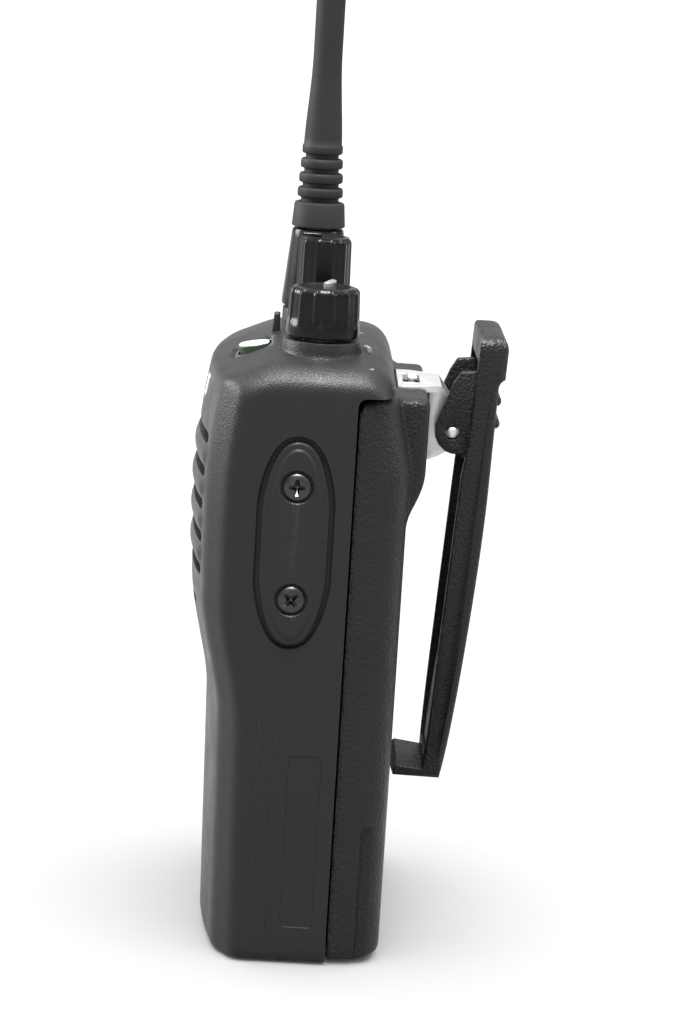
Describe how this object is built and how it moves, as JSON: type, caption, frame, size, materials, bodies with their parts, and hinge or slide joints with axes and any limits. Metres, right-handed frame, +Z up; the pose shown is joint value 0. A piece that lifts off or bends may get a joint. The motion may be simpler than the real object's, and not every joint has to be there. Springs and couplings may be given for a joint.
{
  "type": "portable two-way radio",
  "caption": "Hand-held two-way radio with a slotted grille, top control knobs, a whip antenna, side keys, a screwed accessory cover, a latched battery pack and a sprung belt clip.",
  "frame": {"origin": "middle of the base face the radio stands on, midway across its width and between its lower front face and the back of the battery", "axes": "+Z up along the antenna, -Y the grille side, +Y the battery and belt clip, +X the accessory-cover side"},
  "size_m": [0.0586, 0.0495, 0.2498],
  "materials": {
    "shell_plastic": "fine matte moulding",
    "pack_plastic": "grained moulding",
    "knob_plastic": "gloss",
    "key_rubber": "matte",
    "antenna_rubber": "matte",
    "seal_rubber": "matte",
    "bracket_steel": "bright plated",
    "screw_steel": "black oxide",
    "cast_alloy": "as cast",
    "badge_metal": "satin",
    "contact_brass": "plated",
    "board_laminate": "solder mask",
    "can_steel": "tinned",
    "magnet_iron": "dark",
    "cone_paper": "treated paper",
    "cloth": "felt",
    "cell_metal": "foil wrapped",
    "lens_green": "translucent"
  },
  "bodies": {
    "radio": {"front_housing": "shell_plastic", "badge": "badge_metal", "status_lens": "lens_green", "chassis": "cast_alloy", "chassis_seal": "seal_rubber", "chassis_screw_left": "screw_steel", "chassis_screw_right": "screw_steel", "grille_cloth": "cloth", "speaker_basket": "can_steel", "speaker_cone": "cone_paper", "speaker_magnet": "magnet_iron", "microphone_boot": "seal_rubber", "microphone": "can_steel", "main_board": "board_laminate", "shield_can": "can_steel", "volume_control": "can_steel", "volume_nut": "can_steel", "selector_switch": "can_steel", "selector_nut": "can_steel", "antenna_socket": "contact_brass", "antenna_stud": "contact_brass", "antenna_sleeve": "knob_plastic", "antenna_whip": "antenna_rubber", "antenna_radiator": "can_steel", "jack_cover": "shell_plastic", "jack_gasket": "seal_rubber", "jack_screw_upper": "screw_steel", "jack_screw_lower": "screw_steel", "speaker_jack": "contact_brass", "microphone_jack": "contact_brass", "key_board": "board_laminate", "ptt_switch": "can_steel", "upper_key_switch": "can_steel", "lower_key_switch": "can_steel", "terminal_positive": "contact_brass", "terminal_data": "contact_brass", "terminal_negative": "contact_brass", "latch_spring": "can_steel"},
    "volume": {"volume_knob": "knob_plastic", "volume_shaft": "can_steel"},
    "selector": {"selector_knob": "knob_plastic", "selector_shaft": "can_steel"},
    "ptt": {"ptt_button": "key_rubber"},
    "upper_key": {"upper_side_key": "key_rubber"},
    "lower_key": {"lower_side_key": "key_rubber"},
    "latch": {"battery_latch": "shell_plastic"},
    "battery": {"battery_case": "pack_plastic", "battery_lid": "pack_plastic", "battery_cell_left": "cell_metal", "battery_cell_right": "cell_metal", "battery_board": "board_laminate", "contact_positive": "contact_brass", "contact_data": "contact_brass", "contact_negative": "contact_brass", "clip_bracket": "bracket_steel", "clip_lock_tab": "bracket_steel", "clip_pin": "bracket_steel", "clip_spring": "bracket_steel"},
    "clip": {"clip_lever": "pack_plastic"}
  },
  "joints": [
    {"name": "volume_turn", "type": "hinge", "parent": "radio", "child": "volume", "pos_m": [0.015, 0.0004, 0.1], "axis": [0, 0, -1], "range_deg": [0, 300]},
    {"name": "selector_turn", "type": "hinge", "parent": "radio", "child": "selector", "pos_m": [0, 0.0001, 0.1], "axis": [0, 0, -1], "range_deg": [0, 337.5]},
    {"name": "ptt_press", "type": "slide", "parent": "radio", "child": "ptt", "axis": [1, 0, 0], "range_m": [0, 0.001], "stiffness_N_per_m": 2000, "springref_m": -0.0008},
    {"name": "upper_key_press", "type": "slide", "parent": "radio", "child": "upper_key", "axis": [1, 0, 0], "range_m": [0, 0.0007], "stiffness_N_per_m": 1500, "springref_m": -0.0005},
    {"name": "lower_key_press", "type": "slide", "parent": "radio", "child": "lower_key", "axis": [1, 0, 0], "range_m": [0, 0.0007], "stiffness_N_per_m": 1500, "springref_m": -0.0005},
    {"name": "latch_slide", "type": "slide", "parent": "radio", "child": "latch", "axis": [0, -1, 0], "range_m": [0, 0.0025], "stiffness_N_per_m": 1200, "springref_m": -0.001},
    {"name": "battery_swing", "type": "hinge", "parent": "radio", "child": "battery", "pos_m": [0, 0.0124, 0.0925], "axis": [1, 0, 0], "range_deg": [0, 12]},
    {"name": "clip_squeeze", "type": "hinge", "parent": "battery", "child": "clip", "pos_m": [0, 0.0224, 0.0846], "axis": [1, 0, 0], "range_deg": [0, 15], "stiffness_Nm_per_rad": 0.6, "springref_deg": -22.92}
  ]
}
